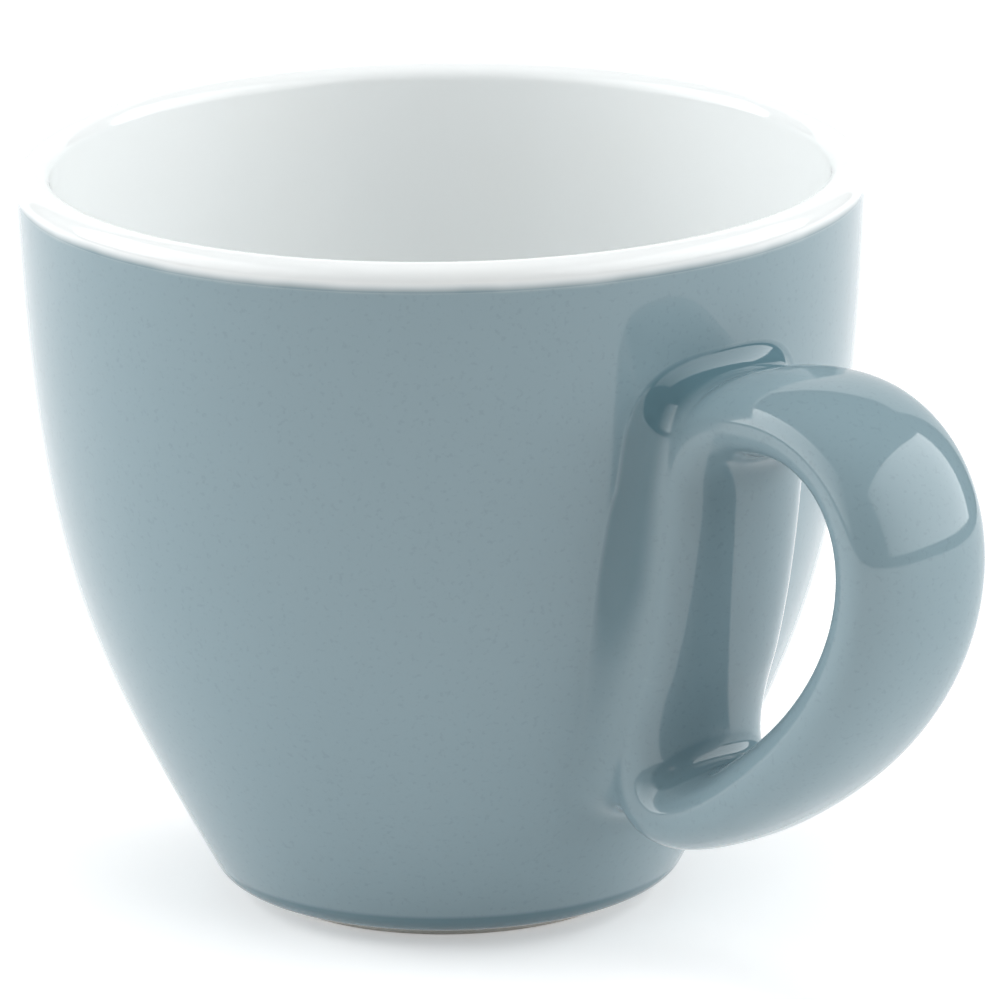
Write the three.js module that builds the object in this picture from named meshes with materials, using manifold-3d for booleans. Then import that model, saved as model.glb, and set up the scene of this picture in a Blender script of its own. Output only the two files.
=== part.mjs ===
// An espresso cup with a closed loop handle, white inside and blue-grey outside: the porcelain bowl and
// handle, the slip that joins them, and the coats of glaze over both. Millimetres, +Z up, the cup standing
// on Z = 0 with its handle along +X, and the origin under the middle of its overall length.
import * as THREE from "three";
import { ParametricGeometry } from "three/addons/geometries/ParametricGeometry.js";
import { mergeVertices } from "three/addons/utils/BufferGeometryUtils.js";
import Module from "manifold-3d";

// Bowl
const HEIGHT = 55;
const RIM_RADIUS = 31;
const LIP_THICKNESS = 2.5; // a full round
const LOW_WALL_THICKNESS = 5; // level with the floor, measured flat across the wall
const FLOOR_THICKNESS = 5;
const FLOOR_BLEND = 7; // height over which the wall turns into the floor inside
const BASE_RADIUS = 17.4; // where the wall turns in under the bowl
const BASE_TURN_RADIUS = 2.5;
const FLARE_ANGLE = THREE.MathUtils.degToRad(28); // the wall's lean out of upright at its foot
const FLARE_LENGTH = 18.5; // how far the wall keeps that lean, as a curve handle
const DRAFT_ANGLE = THREE.MathUtils.degToRad(2); // the wall's lean under the lip
const DRAFT_LENGTH = 29;

// Foot ring
const FOOT_RADIUS = 13.7;
const FOOT_WIDTH = 2.6;
const FOOT_HEIGHT = 1;
const FOOT_BARE_HEIGHT = 0.5; // unglazed, above the table
const FOOT_EDGE = 0.3; // chamfer on the foot's edges
const WELL_DEPTH = 1.8;

// Handle
const OPENING_DROP = 14.5; // from the rim down to the top of the opening, beside its corner
const OPENING_RISE = 18.1; // from the table up to the bottom of the opening, beside its corner
const HIGH_CORNER_ROOM = 3.4; // from the saddle out to where the opening's upper corner ends
const LOW_CORNER_ROOM = 5.4; // and its lower one
const ARCH_RISE_ANGLE = THREE.MathUtils.degToRad(7.4); // the arm's climb as it leaves the wall
const ARCH_RISE_LENGTH = 11.2; // how far it keeps that climb, as a curve handle
const SWEEP_ANGLE = THREE.MathUtils.degToRad(35.6); // the arm's climb from its lower root
const SWEEP_LENGTH = 19.3;
const SADDLE_PROUD = 4.2; // the saddle's height over the wall
const SADDLE_WIDTH = 12.8;
const ARM_THICKNESS = 5.5; // where the loop leaves the wall, and along the saddle
const TIP_THICKNESS = 6.6;
const ARM_WIDTH = 12.7;
const HIGH_ROOT_FILL = 0.6; // extra depth of the loop at its upper root
const LOW_ROOT_FILL = 2.2; // and at its lower one
const ROOT_FILL_FALLOFF = 3; // how fast that depth fades away from the roots
const ROOT_FILLET = 4;
const FILLET_EDGE = 0.6; // the fillet's thickness where it ends on the wall
const SECTION_POWER = 2.2; // squareness of the loop's oval section

// Coats and joints
const GLAZE = 0.3;
const FILM_GAP = 0.05; // between a coat and what it covers
const SEAM_GAP = 0.1; // between coats, edge to edge

// Fineness of the facets
const TURN_STEPS = 48; // round the cup
const WALL_STEPS = 9;
const LIP_STEPS = 6;
const BEND_STEPS = 3;
const LOOP_STEPS = 60;
const BAND_STEPS = 20;
const SADDLE_STEPS = 3;
const HALVINGS = 40; // of a searched range
const WELD = 1e-4; // points of a surface nearer than this are one

const BLUE_GLAZE = { color: 0x8fa2ab, roughness: 0.12, metalness: 0 };
const WHITE_GLAZE = { color: 0xf2f3f2, roughness: 0.1, metalness: 0 };
const BISQUE = { color: 0xe6e1d8, roughness: 0.7, metalness: 0 };

const wasm = await Module();
wasm.setup();

const point = (radius, height) => new THREE.Vector2(radius, height);

// The outside of the wall, as radius and height, from the turn at its foot up to the lip.
const wallFoot = point(BASE_RADIUS, FOOT_HEIGHT + BASE_TURN_RADIUS * (1 - Math.sin(FLARE_ANGLE)));
const wallTop = point(RIM_RADIUS, HEIGHT - LIP_THICKNESS / 2);
const wall = new THREE.CubicBezierCurve(
  wallFoot,
  point(
    wallFoot.x + FLARE_LENGTH * Math.sin(FLARE_ANGLE),
    wallFoot.y + FLARE_LENGTH * Math.cos(FLARE_ANGLE),
  ),
  point(
    wallTop.x - DRAFT_LENGTH * Math.sin(DRAFT_ANGLE),
    wallTop.y - DRAFT_LENGTH * Math.cos(DRAFT_ANGLE),
  ),
  wallTop,
);

// The point between two values where a test that holds at the low one stops holding.
function halve(low, high, holds) {
  for (let i = 0; i < HALVINGS; i++) {
    const middle = (low + high) / 2;
    if (holds(middle)) low = middle;
    else high = middle;
  }
  return (low + high) / 2;
}

// The place on the wall's curve at a height.
const wallPlace = (height) => halve(0, 1, (place) => wall.getPoint(place).y < height);

const wallRadius = (height) => wall.getPoint(wallPlace(height)).x;

// The wall's lean out of upright at a height.
function wallLean(height) {
  const tangent = wall.getTangent(wallPlace(height));
  return Math.atan2(tangent.x, tangent.y);
}

// Points at a distance inside the material, which lies to the right of the line as it runs.
function inset(points, distance) {
  return points.map((p, i) => {
    const before = points[Math.max(i - 1, 0)];
    const after = points[Math.min(i + 1, points.length - 1)];
    const along = after.clone().sub(before).normalize();
    return point(p.x + along.y * distance, p.y - along.x * distance);
  });
}

// The visible outline in four stretches: white inside and lip, blue outside, bare foot, white well.
const floorHeight = WELL_DEPTH + FLOOR_THICKNESS;

function innerWallPoint(height) {
  const share = (wallTop.y - height) / (wallTop.y - floorHeight);
  const thickness = THREE.MathUtils.lerp(LIP_THICKNESS, LOW_WALL_THICKNESS, share);
  return point(wallRadius(height) - thickness, height);
}

function whiteOutline() {
  const blendTop = floorHeight + FLOOR_BLEND;
  const rising = Array.from({ length: WALL_STEPS + 1 }, (_, i) =>
    innerWallPoint(THREE.MathUtils.lerp(blendTop, wallTop.y, i / WALL_STEPS)),
  );
  const slope = (rising[1].x - rising[0].x) / (rising[1].y - rising[0].y);
  const corner = point(rising[0].x - slope * FLOOR_BLEND, floorHeight);
  const bendStart = point(corner.x - FLOOR_BLEND, floorHeight);
  const bend = new THREE.QuadraticBezierCurve(bendStart, corner, rising[0]).getPoints(BEND_STEPS);
  const lip = new THREE.EllipseCurve(
    RIM_RADIUS - LIP_THICKNESS / 2,
    wallTop.y,
    LIP_THICKNESS / 2,
    LIP_THICKNESS / 2,
    Math.PI,
    0,
    true,
  ).getPoints(LIP_STEPS);
  return [point(0, floorHeight), ...bend, ...rising.slice(1), ...lip.slice(1)];
}

function blueOutline() {
  const start = wallPlace(wallTop.y - SEAM_GAP);
  const falling = Array.from({ length: WALL_STEPS + 1 }, (_, i) =>
    wall.getPoint(start * (1 - i / WALL_STEPS)),
  );
  const turn = new THREE.EllipseCurve(
    wallFoot.x - BASE_TURN_RADIUS * Math.cos(FLARE_ANGLE),
    FOOT_HEIGHT + BASE_TURN_RADIUS,
    BASE_TURN_RADIUS,
    BASE_TURN_RADIUS,
    -FLARE_ANGLE,
    -Math.PI / 2,
    true,
  ).getPoints(BEND_STEPS);
  const footSide = [point(FOOT_RADIUS, FOOT_HEIGHT), point(FOOT_RADIUS, FOOT_BARE_HEIGHT + SEAM_GAP)];
  return [...falling, ...turn.slice(1), ...footSide];
}

const footInside = FOOT_RADIUS - FOOT_WIDTH;
const coatDepth = GLAZE + FILM_GAP;

function footOutline() {
  return [
    point(FOOT_RADIUS - coatDepth, FOOT_BARE_HEIGHT),
    point(FOOT_RADIUS, FOOT_BARE_HEIGHT),
    point(FOOT_RADIUS, FOOT_EDGE),
    point(FOOT_RADIUS - FOOT_EDGE, 0),
    point(footInside + FOOT_EDGE, 0),
    point(footInside, FOOT_EDGE),
    point(footInside, FOOT_BARE_HEIGHT),
    point(footInside + coatDepth, FOOT_BARE_HEIGHT),
  ];
}

function wellOutline() {
  return [
    point(footInside, FOOT_BARE_HEIGHT + SEAM_GAP),
    point(footInside, WELL_DEPTH),
    point(0, WELL_DEPTH),
  ];
}

const white = whiteOutline();
const blue = blueOutline();
const well = wellOutline();

// A solid of revolution about the cup's axis, from an outline that ends on the axis or where it began.
function turned(outline) {
  const geometry = new THREE.LatheGeometry(outline.toReversed(), TURN_STEPS);
  return solid(geometry.rotateX(Math.PI / 2));
}

// A coat of glaze under a stretch of the visible outline.
function coat(outline) {
  return turned([...outline, ...inset(outline, GLAZE).reverse(), outline[0]]);
}

// The opening of the loop, in the handle's middle plane: an arch under the arm, a side that follows the
// wall along the saddle, and a corner where each end of the arch meets the saddle.
const saddlePoint = (height) => point(wallRadius(height) + SADDLE_PROUD, height);

// Where a line that leaves a point inwards, falling at an angle, meets the saddle.
function meetSaddle(start, angle) {
  const beyond = (length) => {
    const height = start.y - length * Math.sin(angle);
    return start.x - length * Math.cos(angle) < saddlePoint(height).x;
  };
  const length = halve(0, start.x, (tried) => !beyond(tried));
  return { corner: point(start.x - length * Math.cos(angle), start.y - length * Math.sin(angle)), length };
}

function openingOutline() {
  const top = saddlePoint(HEIGHT - OPENING_DROP).add(point(HIGH_CORNER_ROOM, 0));
  const bottom = saddlePoint(OPENING_RISE).add(point(LOW_CORNER_ROOM, 0));
  const upper = meetSaddle(top, ARCH_RISE_ANGLE);
  const lower = meetSaddle(bottom, SWEEP_ANGLE);
  const saddleTop = upper.corner.y - upper.length;
  const saddleBottom = lower.corner.y + lower.length;
  const saddle = Array.from({ length: SADDLE_STEPS + 1 }, (_, i) =>
    saddlePoint(THREE.MathUtils.lerp(saddleBottom, saddleTop, i / SADDLE_STEPS)),
  );
  return new THREE.Path()
    .moveTo(top.x, top.y)
    .bezierCurveTo(
      top.x + ARCH_RISE_LENGTH * Math.cos(ARCH_RISE_ANGLE),
      top.y + ARCH_RISE_LENGTH * Math.sin(ARCH_RISE_ANGLE),
      bottom.x + SWEEP_LENGTH * Math.cos(SWEEP_ANGLE),
      bottom.y + SWEEP_LENGTH * Math.sin(SWEEP_ANGLE),
      bottom.x,
      bottom.y,
    )
    .quadraticCurveTo(lower.corner.x, lower.corner.y, saddle[0].x, saddle[0].y)
    .splineThru(saddle.slice(1))
    .quadraticCurveTo(upper.corner.x, upper.corner.y, top.x, top.y);
}

const opening = openingOutline();
const openingReach = Math.max(...opening.getSpacedPoints(LOOP_STEPS).map(standOff));

// How far a point of the opening stands out from the saddle.
function standOff(edge) {
  return edge.x - saddlePoint(edge.y).x;
}

// The loop's section at a share of the way round the opening: its middle, the way out, and its sizes.
function section(share) {
  const edge = opening.getPoint(share);
  const along = opening.getTangent(share);
  const out = point(-along.y, along.x);
  const arm = THREE.MathUtils.smoothstep(standOff(edge), 0, openingReach);
  const [upper, lower] = [1, -1].map((side) => Math.max(0, side * out.y - out.x) * Math.SQRT1_2);
  const fill = HIGH_ROOT_FILL * upper ** ROOT_FILL_FALLOFF + LOW_ROOT_FILL * lower ** ROOT_FILL_FALLOFF;
  const thickness = THREE.MathUtils.lerp(ARM_THICKNESS, TIP_THICKNESS, arm) + fill;
  const width = THREE.MathUtils.lerp(SADDLE_WIDTH, ARM_WIDTH, arm);
  return { middle: edge.addScaledVector(out, thickness / 2), out, thickness, width };
}

// The outer line of the loop in its middle plane, along which the sections are evenly spaced.
class OuterLine extends THREE.Curve {
  getPoint(share) {
    const { middle, out, thickness } = section(share);
    return middle.addScaledVector(out, thickness / 2);
  }
}

const outerLine = new OuterLine();

// How far a fillet that meets the grown wall spreads along it, at a height over that wall.
function filletSpread(over, grow) {
  const radius = ROOT_FILLET - grow;
  const height = Math.max(over, FILLET_EDGE - grow);
  if (height >= radius) return 0;
  const spread = radius - Math.sqrt(radius ** 2 - (radius - height) ** 2);
  const fade = Math.max(0, 1 + Math.min(over, 0) / radius);
  return spread * fade;
}

// A point on the handle, grown by a distance all over, with its sides spreading into a fillet on the wall.
function handlePoint(loop, round, grow, target) {
  const { middle, out, thickness, width } = section(outerLine.getUtoTmapping(loop % 1));
  const turn = 2 * Math.PI * (round % 1);
  const halfThickness = thickness / 2 + grow;
  const halfWidth = width / 2 + grow;
  const [across, aside] = [Math.cos(turn), Math.sin(turn)].map(
    (part) => Math.sign(part) * Math.abs(part) ** (2 / SECTION_POWER),
  );
  const flat = middle.clone().addScaledVector(out, halfThickness * across);
  const side = halfWidth * aside;
  const facing = new THREE.Vector3(
    (out.x * Math.cos(turn)) / halfThickness,
    Math.sin(turn) / halfWidth,
    (out.y * Math.cos(turn)) / halfThickness,
  ).normalize();

  const lean = wallLean(flat.y);
  const bearing = Math.atan2(side, flat.x);
  const radius = Math.hypot(flat.x, side);
  const over = (radius - wallRadius(flat.y) - grow) * Math.cos(lean);
  const spread = filletSpread(over, grow);
  const roundward = facing.y * Math.cos(bearing) - facing.x * Math.sin(bearing);
  const outward = facing.x * Math.cos(bearing) + facing.y * Math.sin(bearing);
  const upward = outward * Math.sin(lean) + facing.z * Math.cos(lean);
  const flatness = Math.max(Math.hypot(roundward, upward), Number.EPSILON);

  const height = flat.y + ((spread * upward) / flatness) * Math.cos(lean);
  const newRadius = radius + wallRadius(height) - wallRadius(flat.y);
  const newBearing = bearing + (spread * roundward) / flatness / radius;
  target.set(newRadius * Math.cos(newBearing), newRadius * Math.sin(newBearing), height);
}

function handleLoop(grow) {
  const surface = (loop, round, target) => handlePoint(loop, round, grow, target);
  return solid(new ParametricGeometry(surface, LOOP_STEPS, BAND_STEPS));
}

// All that lies inside the visible wall, grown by the film gap, for trimming the handle to it.
function wallCutter() {
  const outside = inset(blue, -FILM_GAP);
  const top = point(outside[0].x, HEIGHT);
  return turned([point(0, HEIGHT), top, ...outside, point(0, outside[outside.length - 1].y)]);
}

// Closed geometry to a solid that can be joined and cut, and back.
function solid(geometry) {
  geometry.deleteAttribute("normal");
  geometry.deleteAttribute("uv");
  const merged = mergeVertices(geometry, WELD);
  return new wasm.Manifold(
    new wasm.Mesh({
      numProp: 3,
      vertProperties: merged.attributes.position.array,
      triVerts: new Uint32Array(merged.index.array),
    }),
  );
}

function mesh(name, shape, finish) {
  const { vertProperties, triVerts } = shape.getMesh();
  const geometry = new THREE.BufferGeometry();
  geometry.setAttribute("position", new THREE.BufferAttribute(vertProperties, 3));
  geometry.setIndex(new THREE.BufferAttribute(triVerts, 1));
  geometry.computeVertexNormals();
  const made = new THREE.Mesh(geometry, new THREE.MeshStandardMaterial(finish));
  made.name = name;
  return made;
}

function cupBody() {
  const coated = [white, blue].flatMap((outline) => inset(outline, coatDepth));
  return mesh("cup_body", turned([...coated, ...footOutline(), ...inset(well, coatDepth)]), BISQUE);
}

function innerGlaze() {
  return mesh("inner_glaze", coat(white), WHITE_GLAZE);
}

function outerGlaze() {
  return mesh("outer_glaze", coat(blue).subtract(handleLoop(SEAM_GAP)), BLUE_GLAZE);
}

function footGlaze() {
  return mesh("foot_glaze", coat(well), WHITE_GLAZE);
}

function handle() {
  return mesh("handle", handleLoop(-coatDepth).subtract(wallCutter()), BISQUE);
}

function handleGlaze() {
  const shell = handleLoop(0).subtract(handleLoop(-GLAZE));
  return mesh("handle_glaze", shell.subtract(wallCutter()), BLUE_GLAZE);
}

// The slip fills the window that the handle leaves in the wall's coat.
function handleSlip() {
  return mesh("handle_slip", coat(blue).intersect(handleLoop(-coatDepth)), BISQUE);
}

const cup = new THREE.Group();
cup.add(cupBody(), handle(), handleSlip(), innerGlaze(), outerGlaze(), handleGlaze(), footGlaze());

const box = new THREE.Box3().setFromObject(cup);
cup.children.forEach((piece) => (piece.position.x = -(box.min.x + box.max.x) / 2));

export default cup;
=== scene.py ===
import math

import bpy
import numpy as np
from mathutils import Matrix, Vector


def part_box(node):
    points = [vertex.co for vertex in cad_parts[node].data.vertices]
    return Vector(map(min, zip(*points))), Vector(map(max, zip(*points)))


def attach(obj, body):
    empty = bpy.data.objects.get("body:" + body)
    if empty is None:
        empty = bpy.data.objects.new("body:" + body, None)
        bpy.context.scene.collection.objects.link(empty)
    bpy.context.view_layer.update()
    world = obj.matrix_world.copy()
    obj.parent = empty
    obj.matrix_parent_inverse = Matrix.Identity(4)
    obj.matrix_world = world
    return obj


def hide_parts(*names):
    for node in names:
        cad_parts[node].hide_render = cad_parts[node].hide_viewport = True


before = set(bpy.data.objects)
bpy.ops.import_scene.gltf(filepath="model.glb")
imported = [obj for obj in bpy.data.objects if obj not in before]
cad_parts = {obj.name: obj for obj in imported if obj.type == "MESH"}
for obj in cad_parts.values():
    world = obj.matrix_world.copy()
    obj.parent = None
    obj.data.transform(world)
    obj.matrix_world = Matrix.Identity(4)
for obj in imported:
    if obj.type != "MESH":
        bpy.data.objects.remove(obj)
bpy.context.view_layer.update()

bl_info = {
    "name": "Espresso cup",
    "version": (1, 0, 0),
    "blender": (4, 5, 0),
    "location": "3D View > Sidebar > Cup",
    "description": "A glazed porcelain espresso cup with a loop handle, and the studio it stands in",
    "category": "Add Mesh",
}

LINING_LOW, LINING_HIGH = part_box("inner_glaze")
AXIS_X = (LINING_LOW.x + LINING_HIGH.x) / 2
MM = 0.001


def length(name, description, default):
    """A length property, given in millimetres and kept in metres."""
    return bpy.props.FloatProperty(
        name=name,
        description=description,
        default=default * MM,
        min=0,
        precision=5,
        unit="LENGTH",
        subtype="DISTANCE",
    )


def angle(name, description, default):
    """An angle property, given in degrees and kept in radians."""
    return bpy.props.FloatProperty(
        name=name, description=description, default=math.radians(default), unit="ROTATION", subtype="ANGLE"
    )


def number(name, description, default, least=0.0):
    """A plain number property."""
    return bpy.props.FloatProperty(
        name=name, description=description, default=default, min=least, precision=4
    )


def count(name, description, default):
    """A whole number property."""
    return bpy.props.IntProperty(name=name, description=description, default=default, min=3)


def colour(name, description, default):
    """A colour property in linear light."""
    return bpy.props.FloatVectorProperty(
        name=name, description=description, default=default, size=3, min=0, max=1, subtype="COLOR"
    )


class CupSizes(bpy.types.PropertyGroup):
    """The bowl's profile, its foot ring and its coats."""

    height: length("Height", "From the table to the top of the lip", LINING_HIGH.z / MM)
    rim: length("Rim radius", "Outer radius at the lip", (LINING_HIGH.x - LINING_LOW.x) / 2 / MM)
    lip: length("Lip thickness", "Thickness of the wall at its rounded lip", 2.5)
    low_wall: length("Low wall thickness", "Thickness of the wall level with the floor", 5)
    floor: length("Floor thickness", "Thickness of the bowl's floor", 5)
    floor_blend: length("Floor blend", "Height over which the wall turns into the floor inside", 7)
    base: length("Base radius", "Radius where the wall turns in under the bowl", 17.4)
    base_turn: length("Base turn", "Radius of that turn", 2.5)
    flare: angle("Flare", "The wall's lean out of upright at its foot", 28)
    flare_length: length("Flare length", "How far the wall keeps that lean, as a curve handle", 18.5)
    draft: angle("Draft", "The wall's lean under the lip", 2)
    draft_length: length("Draft length", "How far the wall keeps that lean, as a curve handle", 29)
    foot: length("Foot radius", "Outer radius of the foot ring", 13.7)
    foot_width: length("Foot width", "Width of the foot ring", 2.6)
    foot_height: length("Foot height", "From the table up to the underside of the bowl", 1)
    bare: length("Bare height", "Unglazed height of the foot ring", 0.5)
    foot_edge: length("Foot edge", "Rounding of the foot ring's edges", 0.3)
    well: length("Well depth", "Depth of the well inside the foot ring", 1.8)
    glaze: length("Glaze", "Thickness of the coats of glaze", 0.3)
    film: length("Film", "Room between a coat and the porcelain under it", 0.05)
    seam: length("Seam", "Room between a coat's edge and what it ends against", 0.1)
    round_steps: count("Steps round", "Facets round the cup", 240)
    profile_step: length("Profile step", "Longest facet along a profile", 0.7)


class HandleSizes(bpy.types.PropertyGroup):
    """The loop handle and its joint with the wall."""

    drop: length("Opening drop", "From the rim down to the top of the opening", 14.5)
    rise: length("Opening rise", "From the table up to the bottom of the opening", 18.1)
    high_corner: length("High corner room", "From the saddle to where the opening's upper corner ends", 3.4)
    low_corner: length("Low corner room", "From the saddle to where the opening's lower corner ends", 5.4)
    arch: angle("Arch rise", "The arm's climb as it leaves the wall", 7.4)
    arch_length: length("Arch length", "How far the arm keeps that climb, as a curve handle", 11.2)
    sweep: angle("Sweep", "The arm's climb from its lower root", 35.6)
    sweep_length: length("Sweep length", "How far the arm keeps that climb, as a curve handle", 19.3)
    proud: length("Saddle height", "The saddle's height over the wall", 4.2)
    saddle_width: length("Saddle width", "Width of the loop along the wall", 12.8)
    arm: length("Arm thickness", "Thickness of the loop at the wall", 5.5)
    tip: length("Tip thickness", "Thickness of the loop at its outer end", 6.59)
    arm_width: length("Arm width", "Width of the loop at its outer end", 12.7)
    high_fill: length("High root fill", "Extra depth of the loop at its upper root", 0.6)
    low_fill: length("Low root fill", "Extra depth of the loop at its lower root", 2.2)
    root_falloff: number("Root falloff", "How fast that depth fades away from the roots", 3)
    high_fillet: length("High fillet", "Radius of the fillet over the upper root", 1.7)
    side_fillet: length("Side fillet", "Radius of the fillet beside the saddle", 5.4)
    low_fillet: length("Low fillet", "Radius of the fillet under the lower root", 2.8)
    lap: length("Fillet lap", "How far the fillet runs on under the wall's and the loop's skin", 0.18)
    sink: length("Fillet sink", "Depth of that lap", 0.014)
    bury: length("Buried depth", "How far the loop may reach under the outside of the wall", 1.2)
    power: number("Section power", "Squareness of the loop's oval section", 2.2, 1.0)
    loop_steps: count("Steps along", "Facets along the loop", 440)
    band_steps: count("Steps across", "Facets round the loop's section", 160)
    ring_steps: count("Steps round the fillet", "Facets round the handle's foot", 480)
    arc_steps: count("Steps of the fillet", "Facets from the wall to the loop", 36)


class GlazeColours(bpy.types.PropertyGroup):
    """Colours of the glazes and the bare porcelain."""

    blue: colour("Blue glaze", "The blue-grey glaze at its usual thickness", (0.236, 0.333, 0.374))
    # Darker colour for glaze run thick in hollows, which also paints shade into the handle's fillet and
    # nooks
    pool_and_shade: colour("Pooled glaze", "The blue-grey glaze where it has run thick", (0.105, 0.2, 0.24))
    broken: colour("Thin glaze", "The blue-grey glaze where it is thin, over ridges", (0.42, 0.54, 0.575))
    speck: colour("Specks", "The finest specks in the blue-grey glaze", (0.2, 0.282, 0.317))
    white: colour("White glaze", "The white glaze", (0.85, 0.88, 0.882))
    bisque: colour("Bare porcelain", "The unglazed porcelain of the foot ring", (0.8, 0.76, 0.7))
    gloss: number("Glaze roughness", "Roughness of the glazes", 0.07)
    line: length("Colour line", "Height over which the blue fades into the white lip", 0.9)


class StudioSettings(bpy.types.PropertyGroup):
    """Camera, softboxes, table and dim room."""

    bearing: angle("Bearing", "The camera's bearing from the cup, turned back from the handle", 41)
    distance: length("Distance", "From the cup's axis to the camera, measured level", 775.23)
    eye: length("Eye height", "The camera's height over the table", 250.37)
    pan: angle("Pan", "How far the camera looks to the right of the cup's axis", 0.30)
    tilt: angle("Tilt", "How far the camera looks down", 15.93)
    roll: angle("Roll", "How far the camera leans", -0.68)
    lens: number("Lens", "Focal length in millimetres", 394.98)
    side: angle("Side", "The two softboxes' bearing beside the camera, seen from the cup", 74)
    climb: angle("Climb", "The softboxes' climb over the table, seen from the cup", 28)
    reach: length("Reach", "From the cup's axis to the softboxes", 1000)
    box_width: length("Softbox width", "Width of the two softboxes", 1680)
    box_height: length("Softbox height", "Height of the two softboxes", 950)
    right_near: number("Right softbox, near", "Its radiance at the edge near the camera", 0.9)
    right_far: number("Right softbox, far", "Its radiance at the far edge", 4.0)
    left_near: number("Left softbox, near", "Its radiance at the edge near the camera", 0.1)
    left_far: number("Left softbox, far", "Its radiance at the far edge", 4.8)
    top: number("Top softbox", "Radiance of the softbox overhead, which shows no glint", 2.9)
    top_height: length("Top height", "Height of the softbox overhead", 1200)
    top_size: length("Top size", "Length of its sides", 900)
    aim: length("Aim", "Height of the point on the cup's axis that the softboxes face", 30)
    floor: colour("Table", "The pale table", (0.9, 0.9, 0.9))
    table: length("Table radius", "Radius of the round table", 420)
    table_drop: length("Table drop", "Room between the table and the foot ring", 0.1)
    lift: number("Table lift", "Light that the camera sees the table give off by itself", 0.36)
    room: colour("Room", "The dim room round the table", (0.03, 0.03, 0.03))
    room_radius: length("Room radius", "Radius of the room's dome", 1800)
    gap_side: angle("Gap side", "Bearing off the camera's where the dome's white opening starts", 143)
    gap_top: angle("Gap top", "Climb at which that opening ends", 42)
    room_floor: angle("Room floor", "Climb at which the dome starts, below the table", -30)


def bezier(points, share):
    """A Bezier curve through its first and last point: the powers of the share and of what is left of it,
    weighted by the binomial numbers."""
    points = np.asarray(points, float)
    degree = len(points) - 1
    weights = np.stack(
        [math.comb(degree, i) * share**i * (1 - share) ** (degree - i) for i in range(degree + 1)], axis=-1
    )
    return weights @ points


def run_length(points):
    """The length along a line up to each of its points."""
    return np.concatenate([[0.0], np.cumsum(np.linalg.norm(np.diff(points, axis=0), axis=1))])


def resampled(points, step):
    """The same line with evenly spaced points, no further apart than the step."""
    run = run_length(points)
    places = np.linspace(0, run[-1], max(2, math.ceil(run[-1] / step) + 1))
    return np.stack([np.interp(places, run, points[:, k]) for k in (0, 1)], axis=1)


def arc(centre, radius, start, end, steps):
    """Points of a circle about the centre, from one angle to another."""
    turn = np.linspace(start, end, steps + 1)
    return np.asarray(centre) + radius * np.stack([np.cos(turn), np.sin(turn)], axis=1)


def smooth(low, high, value):
    """Zero below, one above, and 3t^2 - 2t^3 between."""
    share = np.clip((value - low) / (high - low), 0, 1)
    return share * share * (3 - 2 * share)


FINE = np.linspace(0, 1, 801)
CURVE_STEPS = 24
NEAREST_TRIES = 8
TINY = 1e-14
ON_AXIS = 1e-9
SHARP_EDGE = math.radians(50)


class Wall:
    """The outside of the wall as radius over height: a cubic Bezier that leaves the base at the flare's lean
    and reaches the lip at the draft's."""

    def __init__(self, cup):
        foot = np.array([cup.base, cup.foot_height + cup.base_turn * (1 - math.sin(cup.flare))])
        top = np.array([cup.rim, cup.height - cup.lip / 2])
        flare = cup.flare_length * np.array([math.sin(cup.flare), math.cos(cup.flare)])
        draft = cup.draft_length * np.array([math.sin(cup.draft), math.cos(cup.draft)])
        self.foot, self.top = foot, top
        self.line = bezier([foot, foot + flare, top - draft, top], FINE)
        run = np.gradient(self.line, axis=0)
        self.leans = np.arctan2(run[:, 0], run[:, 1])

    def radius(self, height):
        """The wall's outer radius at a height."""
        return np.interp(height, self.line[:, 1], self.line[:, 0])

    def stand_off(self, radius, height):
        """How far places lie outside the wall, and the wall's lean where they are nearest to it. The nearest
        place is found by going back along the wall's normal a few times."""
        nearest = height
        for _ in range(NEAREST_TRIES):
            lean = np.interp(nearest, self.line[:, 1], self.leans)
            distance = (radius - self.radius(nearest)) / np.cos(lean)
            nearest = height + distance * np.sin(lean)
        return distance, lean


def inset(line, distance):
    """The line moved into the material on its right: each point goes across the direction of its
    neighbours."""
    along = np.empty_like(line)
    along[1:-1] = line[2:] - line[:-2]
    along[0], along[-1] = line[1] - line[0], line[-1] - line[-2]
    along /= np.linalg.norm(along, axis=1, keepdims=True)
    return line + distance * np.stack([along[:, 1], -along[:, 0]], axis=1)


def white_line(cup, wall):
    """The bowl's inside from the middle of the floor, round the bend, up the wall and over the half-round
    lip. The wall's thickness grows evenly from the lip down to the floor."""
    floor = cup.well + cup.floor
    heights = np.linspace(floor + cup.floor_blend, wall.top[1], CURVE_STEPS * 4)
    thick = cup.lip + (cup.low_wall - cup.lip) * (wall.top[1] - heights) / (wall.top[1] - floor)
    rising = np.stack([wall.radius(heights) - thick, heights], axis=1)
    slope = (rising[1, 0] - rising[0, 0]) / (rising[1, 1] - rising[0, 1])
    corner = np.array([rising[0, 0] - slope * cup.floor_blend, floor])
    start = corner - [cup.floor_blend, 0]
    bend = bezier([start, corner, rising[0]], np.linspace(0, 1, CURVE_STEPS))
    lip = arc([cup.rim - cup.lip / 2, wall.top[1]], cup.lip / 2, math.pi, 0, CURVE_STEPS)
    flat = resampled(np.array([[0, floor], start]), cup.profile_step)
    return np.concatenate([flat[:-1], bend[:-1], resampled(rising, cup.profile_step)[:-1], lip])


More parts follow.
